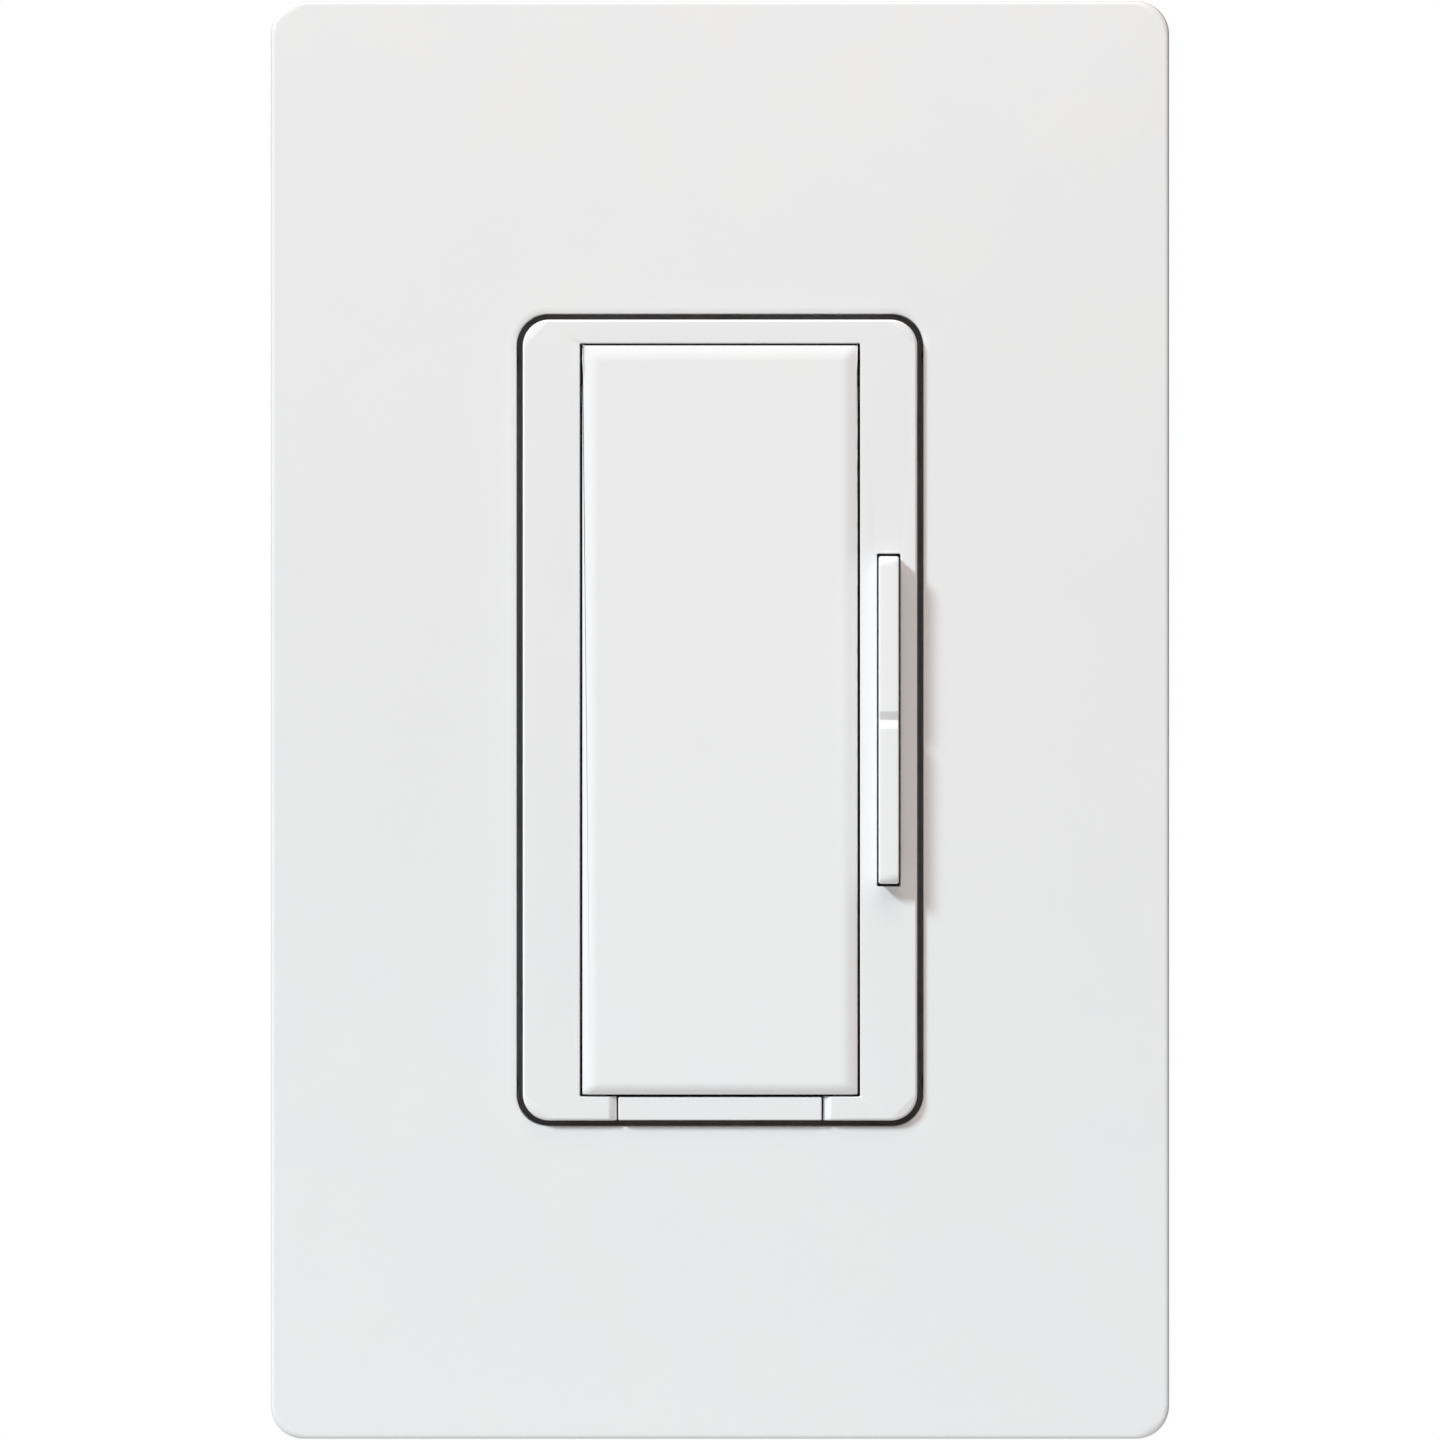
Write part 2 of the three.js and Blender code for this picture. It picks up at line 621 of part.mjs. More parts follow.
function boardWithHoles({ half, y, z }, holes) {
  const outline = roundedRectangle(2 * half, y[1] - y[0], 0.8, 0, [0, (y[0] + y[1]) / 2]);
  return cut(slab(outline, z, 0, 2), ...holes.map(([x, at, r]) => bar("z", r, [x, at], around(0, 40), 12)));
}

function tactileBody() {
  return cut(
    block(around(0, tactile.half), around(0, tactile.half), tactile.z),
    bar("z", tactile.bore, [0, 0], [tactile.boreEnd, 0], 18),
  );
}

const tactilePlunger = () => bar("z", plunger.radius, [0, 0], plunger.z, 18);

const heatTabZ = [-1.9, -0.6];

// A body on three bent legs, with a metal tab that lies against the yoke.
function triac() {
  const body = block(around(0, 5), [13.5, 22.4], [-5.0, -0.6]);
  const heatTab = cut(
    block(around(0, 5), [22.2, 29], heatTabZ),
    bar("z", 1.8, [0, triacScrewY], [-3, 0]),
  );
  const legs = [-2.54, 0, 2.54].map((x) =>
    join(
      block(around(x, 0.4), [11.7, 13.7], [-3.2, -2.7]),
      block(around(x, 0.4), [11.7, 12.2], [powerBoard.z[1] + GAP, -2.7]),
    ),
  );
  return join(body, heatTab, ...legs);
}

// A ring with a square section, turned round its own axis.
function ring(inner, outer, [z0, z1], sides = 32) {
  const profile = [
    [inner, z0],
    [outer, z0],
    [outer, z1],
    [inner, z1],
    [inner, z0],
  ].map(([r, z]) => new THREE.Vector2(r, z));
  return solid(new THREE.LatheGeometry(profile, sides).rotateX(Math.PI / 2));
}

const choke = { at: [-2.5, -6, -16.4], core: [4.6, 7.9], coreZ: [-6.6, -0.8] };
const wound = { radii: [3.7, 8.8], z: [-7.6, 0.2], gap: 0.3 };

// The outer shape of the wire wound on the choke, with a gap between the two ends of the winding.
function chokeWinding() {
  const [inner, outer] = choke.core;
  const [low, high] = choke.coreZ;
  return cut(
    ring(...wound.radii, wound.z, 28),
    ring(inner - wound.gap, outer + wound.gap, [low - wound.gap, high + wound.gap], 28),
    block([2, 12], [-2.2, 2.2], [-10, 3]),
  );
}

function twoLegs(base, pitch) {
  return SIDES.map((side) => block(around((side * pitch) / 2, 0.3), around(0, 0.3), [base - 1, base + 0.2]));
}

// A round part on two legs, such as a fuse or an electrolytic capacitor.
function canOnLegs(radius, z, pitch, sides = 24) {
  return join(bar("z", radius, [0, 0], z, sides), ...twoLegs(z[0], pitch));
}

function boxOnLegs(xs, ys, z, pitch) {
  return join(block(xs, ys, z), ...twoLegs(z[0], pitch));
}

function varistor() {
  const legs = SIDES.map((side) => block(around(0, 0.35), around(side * 3.5, 0.35), [-24.2, -19]));
  return join(bar("x", 5.4, [0, -17.9], [-1.9, 1.9], 28), ...legs);
}

function boardLink() {
  const strip = block(around(0, 1.25), around(0, 6.35), [-24.2, -21.7]);
  const pins = [-2, -1, 0, 1, 2].map((n) =>
    block(around(0, 0.32), around(n * 2.54, 0.32), [-22, controlBoard.z[0] - GAP]),
  );
  return join(strip, ...pins);
}

const postY = [-31.2, -27.5];

const armPost = () => block([-13.6, -11.8], postY, [powerBoard.z[1] + 0.2, arm.z[0] - 0.35]);

function fixedContactBracket() {
  const under = contact.fixed[0] - GAP;
  return join(
    block([10.8, 11.8], postY, [powerBoard.z[1] + 0.2, under]),
    block([6.8, 11.8], postY, [under - 0.8, under]),
  );
}

// ---- The assembly -------------------------------------------------------------------------------------

const finish = (color, roughness, metalness) =>
  new THREE.MeshStandardMaterial({ color, roughness, metalness });

function place(parent, name, made, material, position = [0, 0, 0], rotation = [0, 0, 0]) {
  const mesh = new THREE.Mesh(geometryOf(made), material);
  mesh.name = name;
  mesh.position.set(...position);
  mesh.rotation.set(...rotation);
  parent.add(mesh);
}

const offWhite = () => finish(0xe6e6e7, 0.5, 0);
const blackPlastic = () => finish(0x26272a, 0.6, 0);
const boardGreen = () => finish(0x1f5b3a, 0.5, 0);
const zinc = () => finish(0xc2c5c8, 0.35, 1);
const brassMetal = () => finish(0xc9a24a, 0.35, 1);
const ENDS = { bottom: -1, top: 1 };

function wallplateGroup() {
  const group = new THREE.Group();
  place(group, "faceplate", faceplate(), offWhite());
  place(group, "adapter_plate", adapterPlate(), finish(0xdcdcdb, 0.55, 0));
  for (const [where, end] of Object.entries(ENDS)) {
    const at = [0, end * plateScrewY, adapter.front + GAP];
    place(group, `plate_screw_${where}`, screw(plateScrew), zinc(), at);
  }
  return group;
}

function yokeGroup() {
  const group = new THREE.Group();
  place(group, "yoke", yokeStrap(), finish(0xb8bbbe, 0.4, 1));
  const retainer = () => cut(block(around(0, 4), around(0, 4), [-0.9, 0]), bar("z", 1.8, [0, 0], [-2, 1]));
  for (const [where, end] of Object.entries(ENDS)) {
    const y = end * boxScrewY;
    place(group, `box_screw_${where}`, screw(boxScrew), zinc(), [0, y, yoke.front + GAP]);
    const fibre = finish(0x8a6a45, 0.9, 0);
    place(group, `screw_retainer_${where}`, retainer(), fibre, [0, y, yoke.back - GAP]);
  }
  place(
    group,
    "ground_screw",
    screw(groundScrew),
    finish(0x2f7d46, 0.45, 0.6),
    [(groundLug.x[0] + groundLug.x[1]) / 2, groundLug.y[0] - GAP, groundLug.screwZ],
    [Math.PI / 2, 0, 0],
  );
  return group;
}

function frontGroup() {
  const group = new THREE.Group();
  place(group, "bezel", frontBezel(), offWhite());
  place(group, "tap_paddle", tapPaddle(), offWhite());
  place(group, "dimming_rocker", dimmingRocker(), offWhite());
  place(group, "service_slider", serviceSlider(), offWhite());
  const steel = finish(0x9a9da0, 0.3, 1);
  place(group, "paddle_return_spring", coilSpring(paddleSpring), steel, [0, paddleSpring.y, 0]);
  return group;
}

function controlGroup() {
  const group = new THREE.Group();
  const holes = SIDES.map((side) => [side * controlBoard.holeX, controlBoard.holeY, controlBoard.hole]);
  place(group, "control_board", boardWithHoles(controlBoard, holes), boardGreen());
  const switches = { tap: [0, tapPost.y], raise: [switchX, rockerFoot.y], lower: [switchX, -rockerFoot.y] };
  for (const [name, [x, y]] of Object.entries(switches)) {
    place(group, `${name}_switch_body`, tactileBody(), blackPlastic(), [x, y, 0]);
    place(group, `${name}_switch_plunger`, tactilePlunger(), finish(0xd9d4c8, 0.5, 0), [x, y, 0]);
  }
  place(group, "controller_chip", block([-11.5, -4.5], [-6.5, 0.5], [-4.65, -3.6]), blackPlastic());
  return group;
}

function powerGroup() {
  const group = new THREE.Group();
  const deck = powerBoard.z[1] + GAP;
  const powerHoles = SIDES.flatMap((side) =>
    boardPins.y.map((y) => [side * boardPins.x, y, boardPins.hole]),
  );
  place(group, "power_board", boardWithHoles(powerBoard, powerHoles), boardGreen());
  place(group, "triac", triac(), blackPlastic());
  const pad = cut(
    block(around(0, 6.5), [12.6, 30], [heatTabZ[1] + GAP, yoke.back - GAP]),
    bar("z", 1.8, [0, triacScrewY], [-1, 1]),
  );
  place(group, "triac_insulating_pad", pad, finish(0x9fb4c4, 0.8, 0));
  const underTab = [0, triacScrewY, heatTabZ[0] - GAP];
  place(group, "triac_screw", screw(triacScrew), zinc(), underTab, [Math.PI, 0, 0]);
  place(group, "choke_core", ring(...choke.core, choke.coreZ), finish(0xc8b52a, 0.6, 0), choke.at);
  place(group, "choke_winding", chokeWinding(), finish(0xb5562a, 0.35, 1), choke.at);
  const filmBox = boxOnLegs(around(0, 8.6), around(0, 4.2), [deck + 1, -11], 12);
  place(group, "film_capacitor", filmBox, finish(0xd8a52c, 0.5, 0), [-4.4, 20.3, 0]);
  const supplyCan = canOnLegs(4.1, [deck + 1, -12.6], 3.5);
  place(group, "supply_capacitor", supplyCan, finish(0x20242c, 0.4, 0), [9.6, 0.5, 0]);
  place(group, "fuse", canOnLegs(4.0, [deck + 1, -16.5], 5), finish(0x3a2a22, 0.5, 0), [-8.5, 8.0, 0]);
  place(group, "surge_varistor", varistor(), finish(0x2b4f9e, 0.5, 0), [9, 20, 0]);
  place(group, "board_link", boardLink(), blackPlastic(), [9.75, -14.6, 0]);
  return group;
}

function airGapGroup() {
  const group = new THREE.Group();
  place(group, "contact_arm_post", armPost(), brassMetal());
  place(group, "contact_arm", block(arm.x, arm.y, arm.z), finish(0xc98a4b, 0.35, 1));
  const silver = () => finish(0xd8dadc, 0.25, 1);
  const button = (z) => bar("z", contact.radius, [contact.x, contact.y], z, 16);
  place(group, "moving_contact", button([contact.moving[0], contact.moving[1] - 0.1]), silver());
  place(group, "fixed_contact", button(contact.fixed), silver());
  place(group, "fixed_contact_bracket", fixedContactBracket(), brassMetal());
  return group;
}

function housingGroup() {
  const group = new THREE.Group();
  place(group, "rear_housing", rearHousing(), blackPlastic());
  const corners = { bottom_left: [-1, -1], bottom_right: [1, -1], top_left: [-1, 1], top_right: [1, 1] };
  for (const [where, [side, end]] of Object.entries(corners))
    place(
      group,
      `housing_screw_${where}`,
      screw(rearScrew),
      zinc(),
      [side * housingScrew.x, end * housingScrew.y, housingScrew.seat - GAP],
      [Math.PI, 0, 0],
    );
  for (const [name, [side, y]] of Object.entries(terminals)) addTerminal(group, name, side, y);
  return group;
}

const dimmer = new THREE.Group();
dimmer.add(wallplateGroup(), yokeGroup(), frontGroup());
dimmer.add(controlGroup(), powerGroup(), airGapGroup(), housingGroup());
dimmer.rotation.x = Math.PI / 2; // y up the wall becomes +Z, and z out of the wall becomes -Y

export default dimmer;
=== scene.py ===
"""The looks of a one-gang wall dimmer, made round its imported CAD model.

Everything is in metres in the CAD frame: +X to the user's right, +Z up the wall, -Y out of the wall. A fine
mesh stands for each CAD node. The rocker, the screws, the return spring and the choke have builders of their
own, and every other node gets its flats merged and its edges rounded.
"""

import json
import math

import bmesh
import bpy
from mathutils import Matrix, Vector
from mathutils.geometry import delaunay_2d_cdt

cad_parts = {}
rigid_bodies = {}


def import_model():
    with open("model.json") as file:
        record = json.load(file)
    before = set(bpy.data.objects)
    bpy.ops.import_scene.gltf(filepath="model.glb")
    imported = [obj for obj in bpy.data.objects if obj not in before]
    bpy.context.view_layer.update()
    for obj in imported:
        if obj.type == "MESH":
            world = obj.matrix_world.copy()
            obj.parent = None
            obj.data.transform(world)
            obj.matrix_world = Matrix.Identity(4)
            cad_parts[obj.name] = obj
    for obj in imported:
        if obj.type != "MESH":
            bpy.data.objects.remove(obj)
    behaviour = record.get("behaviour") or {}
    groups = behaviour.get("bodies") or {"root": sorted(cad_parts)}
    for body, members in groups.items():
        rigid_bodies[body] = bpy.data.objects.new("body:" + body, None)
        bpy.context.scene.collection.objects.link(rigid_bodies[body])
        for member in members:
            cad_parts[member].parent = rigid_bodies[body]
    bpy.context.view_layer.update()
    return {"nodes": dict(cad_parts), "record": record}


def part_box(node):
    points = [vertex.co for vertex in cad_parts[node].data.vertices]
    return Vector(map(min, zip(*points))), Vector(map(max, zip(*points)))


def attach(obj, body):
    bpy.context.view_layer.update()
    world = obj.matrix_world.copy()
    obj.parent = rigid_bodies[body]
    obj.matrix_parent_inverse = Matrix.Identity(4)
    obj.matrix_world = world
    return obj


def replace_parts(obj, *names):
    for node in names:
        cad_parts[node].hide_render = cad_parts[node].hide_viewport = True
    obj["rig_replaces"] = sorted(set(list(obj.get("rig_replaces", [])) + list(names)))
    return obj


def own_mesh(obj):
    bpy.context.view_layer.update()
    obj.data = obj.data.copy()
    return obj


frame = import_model()

MM = 0.001
WELD = 0.001 * MM  # points closer than this become one
BODY_OF = {
    node: body for body, members in frame["record"]["behaviour"]["bodies"].items() for node in members
}
SLOT_OF = {row["node"]: row["material_slot"] for row in frame["record"]["subparts"]}


# ---- Materials --------------------------------------------------------------------------------------

MOST_OF_NOISE = (0.3, 0.7)  # the values that a noise texture mostly keeps to
COLOUR_DRIFT = 9 * MM  # how far apart slow changes of a moulding's colour lie
GLOSS_DRIFT = 4 * MM


def linear(r, g, b):
    """A screen colour, 0 to 255 in each channel, as the linear colour that shaders take."""
    shares = (value / 255 for value in (r, g, b))
    return tuple(s / 12.92 if s <= 0.04045 else ((s + 0.055) / 1.055) ** 2.4 for s in shares)


class Look:
    """A procedural material: a Principled shader with what varies over the surface added a line at a time."""

    def __init__(self, name, roughness, metallic=0.0, **sockets):
        self.material = bpy.data.materials.new(name)
        self.material.use_nodes = True
        self.nodes = self.material.node_tree.nodes
        self.link = self.material.node_tree.links.new
        self.shader = self.nodes["Principled BSDF"]
        self.shader.inputs["Roughness"].default_value = roughness
        self.shader.inputs["Metallic"].default_value = metallic
        for socket, value in sockets.items():
            self.shader.inputs[socket.replace("_", " ").title().replace("Ior", "IOR")].default_value = value
        self.coordinates = self.nodes.new("ShaderNodeTexCoord").outputs["Object"]

    def noise(self, size, detail=2.0, stretch=(1, 1, 1), distortion=0.0):
        """Noise whose patches are about size metres across, longer along an axis where stretch is over 1."""
        mapping = self.nodes.new("ShaderNodeMapping")
        mapping.inputs["Scale"].default_value = [1 / s for s in stretch]
        self.link(self.coordinates, mapping.inputs["Vector"])
        texture = self.nodes.new("ShaderNodeTexNoise")
        texture.inputs["Scale"].default_value = 1 / size
        texture.inputs["Detail"].default_value = detail
        texture.inputs["Distortion"].default_value = distortion
        self.link(mapping.outputs["Vector"], texture.inputs["Vector"])
        return texture.outputs["Fac"]

    def colour(self, pattern, low, high, span=MOST_OF_NOISE):
        """The base colour runs from low to high as the pattern goes over its span."""
        ramp = self.nodes.new("ShaderNodeValToRGB")
        for element, place, colour in zip(ramp.color_ramp.elements, span, (low, high)):
            element.position = place
            element.color = (*colour, 1)
        self.link(pattern, ramp.inputs["Fac"])
        self.link(ramp.outputs["Color"], self.shader.inputs["Base Color"])

    def roughness(self, pattern, low, high):
        """The roughness runs from low to high as the pattern goes over its usual values."""
        spread = self.nodes.new("ShaderNodeMapRange")
        spread.inputs["From Min"].default_value, spread.inputs["From Max"].default_value = MOST_OF_NOISE
        spread.inputs["To Min"].default_value = low
        spread.inputs["To Max"].default_value = high
        self.link(pattern, spread.inputs["Value"])
        self.link(spread.outputs["Result"], self.shader.inputs["Roughness"])

    def bump(self, pattern, height):
        """Adds the pattern as relief of that height in metres."""
        bump = self.nodes.new("ShaderNodeBump")
        bump.inputs["Distance"].default_value = height
        bump.inputs["Strength"].default_value = 1
        self.link(pattern, bump.inputs["Height"])
        self.link(bump.outputs["Normal"], self.shader.inputs["Normal"])


def moulded(name, low, high, roughness, grain, relief, **sockets):
    """Moulded plastic: slow drifts of colour and gloss, and the fine even grain of a textured mould."""
    look = Look(name, roughness, **sockets)
    look.colour(look.noise(COLOUR_DRIFT, 3), low, high)
    look.roughness(look.noise(GLOSS_DRIFT, 4), roughness - 0.03, roughness + 0.04)
    look.bump(look.noise(grain, 3), relief)
    return look


def worked_metal(name, low, high, roughness, grain, relief, stretch):
    """Metal with a grain drawn out along one direction, and mottled a little by its finish."""
    look = Look(name, roughness, metallic=1.0)
    look.colour(look.noise(2.5 * MM, 5, distortion=0.4), low, high)
    look.roughness(look.noise(grain, 4, stretch), roughness - 0.07, roughness + 0.09)
    look.bump(look.noise(grain, 4, stretch), relief)
    return look


def satin_white(name, tone):
    """The off-white satin plastic of the front. tone is its brightness on a screen, 0 to 255."""
    low, high = linear(tone, tone, tone), linear(tone + 1, tone + 1, tone)
    return moulded(name, low, high, 0.62, 0.16 * MM, 0.0012 * MM, specular_ior_level=0.4)


LOOKS = {
    "palladium_plastic": satin_white("satin_white_plastic", 236),
    "adapter_plastic": moulded(
        "matt_grey_plastic", linear(214, 214, 212), linear(219, 219, 217), 0.6, 0.2 * MM, 0.003 * MM
    ),
    "black_plastic": moulded(
        "spark_grained_black_plastic", linear(38, 39, 41), linear(45, 46, 48), 0.58, 0.25 * MM, 0.012 * MM
    ),
    "component_plastic": moulded(
        "component_black", linear(30, 31, 33), linear(39, 40, 42), 0.5, 0.12 * MM, 0.003 * MM
    ),
    "plunger_plastic": moulded(
        "natural_nylon", linear(214, 208, 192), linear(222, 217, 203), 0.45, 0.15 * MM, 0.002 * MM
    ),
    "film_yellow": moulded(
        "yellow_film_box", linear(214, 160, 40), linear(222, 170, 52), 0.32, 0.3 * MM, 0.003 * MM
    ),
    "varistor_blue": moulded(
        "blue_epoxy", linear(38, 74, 150), linear(48, 86, 164), 0.28, 0.9 * MM, 0.02 * MM
    ),
    "core_powder": moulded(
        "powder_coated_core", linear(196, 176, 44), linear(206, 187, 58), 0.55, 0.2 * MM, 0.01 * MM
    ),
    "pad_silicone": moulded(
        "silicone_pad", linear(146, 160, 172), linear(156, 169, 180), 0.75, 0.15 * MM, 0.006 * MM
    ),
    "yoke_aluminium": worked_metal(
        "rolled_aluminium", linear(196, 198, 200), linear(208, 210, 212), 0.38, 0.07 * MM, 0.0015 * MM,
        (1, 1, 40),
    ),
    "zinc_steel": worked_metal(
        "zinc_plated_steel", linear(186, 189, 194), linear(206, 208, 212), 0.33, 0.12 * MM, 0.002 * MM,
        (1, 4, 1),
    ),
    "brass": worked_metal(
        "satin_brass", linear(198, 158, 84), linear(214, 176, 102), 0.32, 0.09 * MM, 0.0015 * MM, (1, 1, 12)
    ),
    "spring_bronze": worked_metal(
        "phosphor_bronze", linear(190, 132, 84), linear(204, 148, 100), 0.3, 0.08 * MM, 0.001 * MM, (20, 1, 1)
    ),
    "contact_silver": worked_metal(
        "contact_silver", linear(214, 214, 212), linear(228, 228, 226), 0.2, 0.1 * MM, 0.001 * MM, (1, 1, 1)
    ),
}


def enamelled_copper():
    look = Look("enamelled_copper", 0.25, metallic=0.85, coat_weight=0.6, coat_roughness=0.12)
    look.colour(look.noise(1.5 * MM, 3), linear(164, 82, 44), linear(182, 98, 56))
    look.bump(look.noise(0.3 * MM, 2), 0.002 * MM)
    return look


def green_lacquer():
    look = Look("green_lacquered_steel", 0.35, metallic=0.55, coat_weight=0.3, coat_roughness=0.2)
    look.colour(look.noise(1.2 * MM, 4), linear(36, 112, 62), linear(48, 128, 76))
    look.bump(look.noise(0.2 * MM, 3), 0.003 * MM)
    return look


def pressed_fibre():
    look = Look("pressed_fibre", 0.85)
    look.colour(look.noise(0.5 * MM, 5, (3, 1, 1)), linear(128, 96, 62), linear(158, 124, 86))
    look.bump(look.noise(0.15 * MM, 4, (3, 1, 1)), 0.02 * MM)
    return look


def circuit_board():
    look = Look("solder_mask_green", 0.3, coat_weight=0.4, coat_roughness=0.15)
    look.colour(look.noise(3 * MM, 2, (1, 1, 6)), linear(22, 84, 48), linear(30, 100, 58), (0.45, 0.55))
    look.bump(look.noise(0.35 * MM, 2), 0.008 * MM)
    return look


FRONT_TONES = {  # a little lighter than the faceplate
    "tap_paddle": satin_white("paddle_plastic", 238),
    "dimming_rocker": satin_white("rocker_plastic", 241),
}
LOOKS.update(
    winding_copper=enamelled_copper(),
    ground_green=green_lacquer(),
    retainer_fibre=pressed_fibre(),
    board_green=circuit_board(),
)


# ---- Meshes -----------------------------------------------------------------------------------------

def piece(name, mesh, node):
    """An object that stands for a CAD node, on its body and with its material."""
    obj = bpy.data.objects.new(name, mesh)
    bpy.context.scene.collection.objects.link(obj)
    mesh.shade_smooth()
    weighting = obj.modifiers.new("flat_faces_stay_flat", "WEIGHTED_NORMAL")
    weighting.keep_sharp = True
    mesh.materials.clear()
    mesh.materials.append(FRONT_TONES.get(node, LOOKS[SLOT_OF[node]]).material)
    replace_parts(obj, node)
    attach(obj, BODY_OF[node])
    return obj


def mesh_from(name, shape, sharp_over=None):
    """Turns a bmesh into a mesh. Edges that turn by more than sharp_over degrees stay sharp."""
    bmesh.ops.recalc_face_normals(shape, faces=shape.faces)
    if sharp_over:
        for edge in shape.edges:
            edge.smooth = len(edge.link_faces) == 2 and edge.calc_face_angle(0) < math.radians(sharp_over)
    mesh = bpy.data.meshes.new(name)
    shape.to_mesh(mesh)
    shape.free()
    return mesh


def eased(shape, rounding, segments=2, turn=(28, 180), beyond=None):
    """Rounds each edge that turns by an angle in degrees between the two in turn. beyond leaves out all that
    doesn't stand out past that distance from the wall."""
    least, most = map(math.radians, turn)
    edges = [e for e in shape.edges if len(e.link_faces) == 2 and least < e.calc_face_angle(0) <= most]
    if beyond:
        edges = [e for e in edges if all(v.co.y < -beyond for v in e.verts)]
    bmesh.ops.bevel(
        shape,
        geom=edges,
        offset=rounding,
        offset_type="OFFSET",
        segments=segments,
        profile=0.5,
        affect="EDGES",
        clamp_overlap=False,
        miter_outer="ARC",
        loop_slide=False,
    )
    bmesh.ops.remove_doubles(shape, verts=shape.verts, dist=WELD)


def inside(point, edges):
    """Whether a point on a plane is within the loops that these edges make up."""
    crossings = 0
    for (ax, ay), (bx, by) in edges:
        if (ay > point[1]) != (by > point[1]):
            crossings += point[0] < ax + (point[1] - ay) * (bx - ax) / (by - ay)
    return crossings % 2 == 1


def retiled(shape):
    """Divides each flat region into new triangles, because rounding edges can fold the faces across it."""
    flatness = 2e-4 * MM
    shape.normal_update()
    placed = set()
    for seed in sorted(shape.faces, key=lambda f: -f.calc_area()):
        if seed in placed:
            continue
        normal, origin = seed.normal.copy(), seed.verts[0].co.copy()
        region, waiting = {seed}, [seed]
        while waiting:
            for edge in waiting.pop().edges:
                for face in edge.link_faces:
                    if face in region or face in placed:
                        continue
                    if all(abs((v.co - origin).dot(normal)) < flatness for v in face.verts):
                        region.add(face)
                        waiting.append(face)
        placed |= region
        if len(region) == 1 and len(seed.verts) <= 4:
            continue
        across = normal.orthogonal().normalized()
        along = normal.cross(across)
        region_edges = {e for f in region for e in f.edges}
        rim = [e for e in region_edges if sum(f in region for f in e.link_faces) == 1]
        corners = sorted({v for e in rim for v in e.verts}, key=lambda v: v.index)
        place = {v: i for i, v in enumerate(corners)}
        flat = [Vector(((v.co - origin).dot(across), (v.co - origin).dot(along))) / MM for v in corners]
        pairs = [(place[e.verts[0]], place[e.verts[1]]) for e in rim]
        points, _, triangles, sources, _, _ = delaunay_2d_cdt(flat, pairs, [], 0, 1e-6, True)
        segments = [(flat[i], flat[j]) for i, j in pairs]
        kept = [t for t in triangles if inside(sum((points[i] for i in t), Vector((0, 0))) / 3, segments)]
        bmesh.ops.delete(shape, geom=list(region), context="FACES_KEEP_BOUNDARY")
        made = {}
        for i in {i for triangle in kept for i in triangle}:
            if sources[i]:
                made[i] = corners[sources[i][0]]
            else:
                made[i] = shape.verts.new(origin + MM * (points[i].x * across + points[i].y * along))
        for triangle in kept:
            corners_used = [made[i] for i in triangle]
            if len(set(corners_used)) == 3 and not shape.faces.get(corners_used):
                shape.faces.new(corners_used)


def finer(node, rounding, soft_front=None):
    """A copy of a CAD node with its flats merged and its edges rounded. soft_front gives the width and the
    start, out from the wall, of a wider rounding on the shallow edges of its front."""
    shape = bmesh.new()
    shape.from_mesh(frame["nodes"][node].data)
    bmesh.ops.remove_doubles(shape, verts=shape.verts, dist=0.002 * MM)
    bmesh.ops.dissolve_limit(
        shape,
        angle_limit=math.radians(0.4),
        verts=shape.verts,
        edges=shape.edges,
        use_dissolve_boundaries=False,
    )
    shape.verts.index_update()
    if soft_front:
        eased(shape, soft_front[0], 5, (9, 40), beyond=soft_front[1])
    eased(shape, rounding)
    shape.verts.index_update()
    retiled(shape)
    return piece(f"{node}_fine", mesh_from(node, shape, 50), node)


def skin(shape, rings, ring_ends=True):
    """Faces between each ring of points and the next. ring_ends caps the first and last ring."""
    rows = [[shape.verts.new(point) for point in ring] for ring in rings]
    for row, following in zip(rows, rows[1:]):
        for i in range(len(row)):
            j = (i + 1) % len(row)
            shape.faces.new((row[i], row[j], following[j], following[i]))
    if ring_ends:
        shape.faces.new(rows[0])
        shape.faces.new(rows[-1])


def circle(centre, across, along, radius, sides):
    """Points round centre, starting towards across and turning towards along."""
    steps = (2 * math.pi * i / sides for i in range(sides))
    return [centre + radius * (math.cos(a) * across + math.sin(a) * along) for a in steps]


def tube(shape, path, radius, sides):
    """A round wire along a path of points, with rings that don't twist from one to the next."""
    ahead = (path[1] - path[0]).normalized()
    across = ahead.cross(Vector((0.13, 0.31, 0.94)).normalized()).normalized()
    rings = []
    for i, point in enumerate(path):
        ahead = (path[min(i + 1, len(path) - 1)] - path[max(i - 1, 0)]).normalized()
        across = (across - across.dot(ahead) * ahead).normalized()
        rings.append(circle(point, across, ahead.cross(across), radius, sides))
    skin(shape, rings)


def turned(shape, profile, base, axis, sides):
    """A solid turned round an axis through base. The profile is (radius, height along the axis) pairs."""
    across = axis.orthogonal().normalized()
    along = axis.cross(across)
    rings = [circle(base + height * axis, across, along, radius, sides) for radius, height in profile]
    skin(shape, rings)


# ---- Front controls ---------------------------------------------------------------------------------

